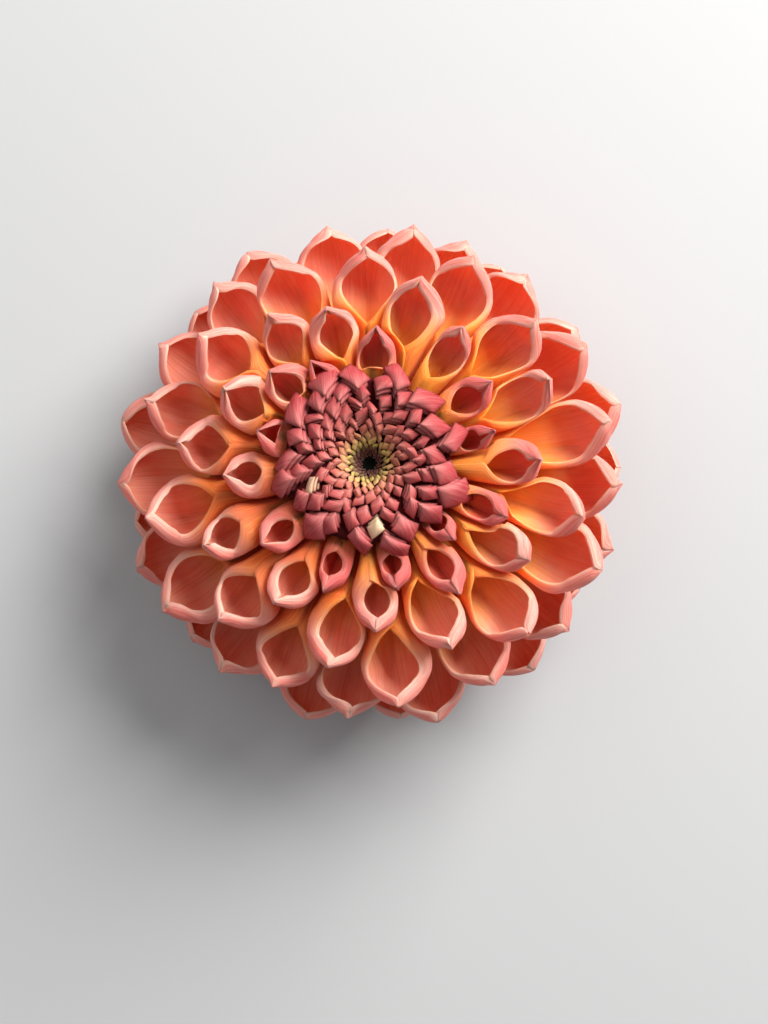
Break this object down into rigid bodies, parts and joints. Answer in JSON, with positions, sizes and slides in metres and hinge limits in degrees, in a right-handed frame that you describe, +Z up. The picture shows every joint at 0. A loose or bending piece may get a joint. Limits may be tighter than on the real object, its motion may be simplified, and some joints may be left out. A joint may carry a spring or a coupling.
{
  "type": "dahlia flower",
  "caption": "Cut dahlia bloom of the ball type lying face up: rolled coral petals in spirals round a disc of closed rose buds with a green eye.",
  "frame": {"origin": "on the surface that the bloom lies on, under the middle of its bounding box", "axes": "+Z up out of the bloom's face, +Y towards the side that the face leans to, which is the picture's top, +X towards the picture's right"},
  "size_m": [0.0998, 0.098, 0.0483],
  "materials": {
    "ray_florets": "satin",
    "closed_florets": "satin",
    "green_eye": "satin",
    "inner_bracts": "matte",
    "stem_and_outer_bracts": "satin"
  },
  "bodies": {
    "root": {"ray_florets": "ray_florets", "closed_florets": "closed_florets", "green_eye": "green_eye", "inner_bracts": "inner_bracts", "stem_and_outer_bracts": "stem_and_outer_bracts"}
  },
  "joints": []
}
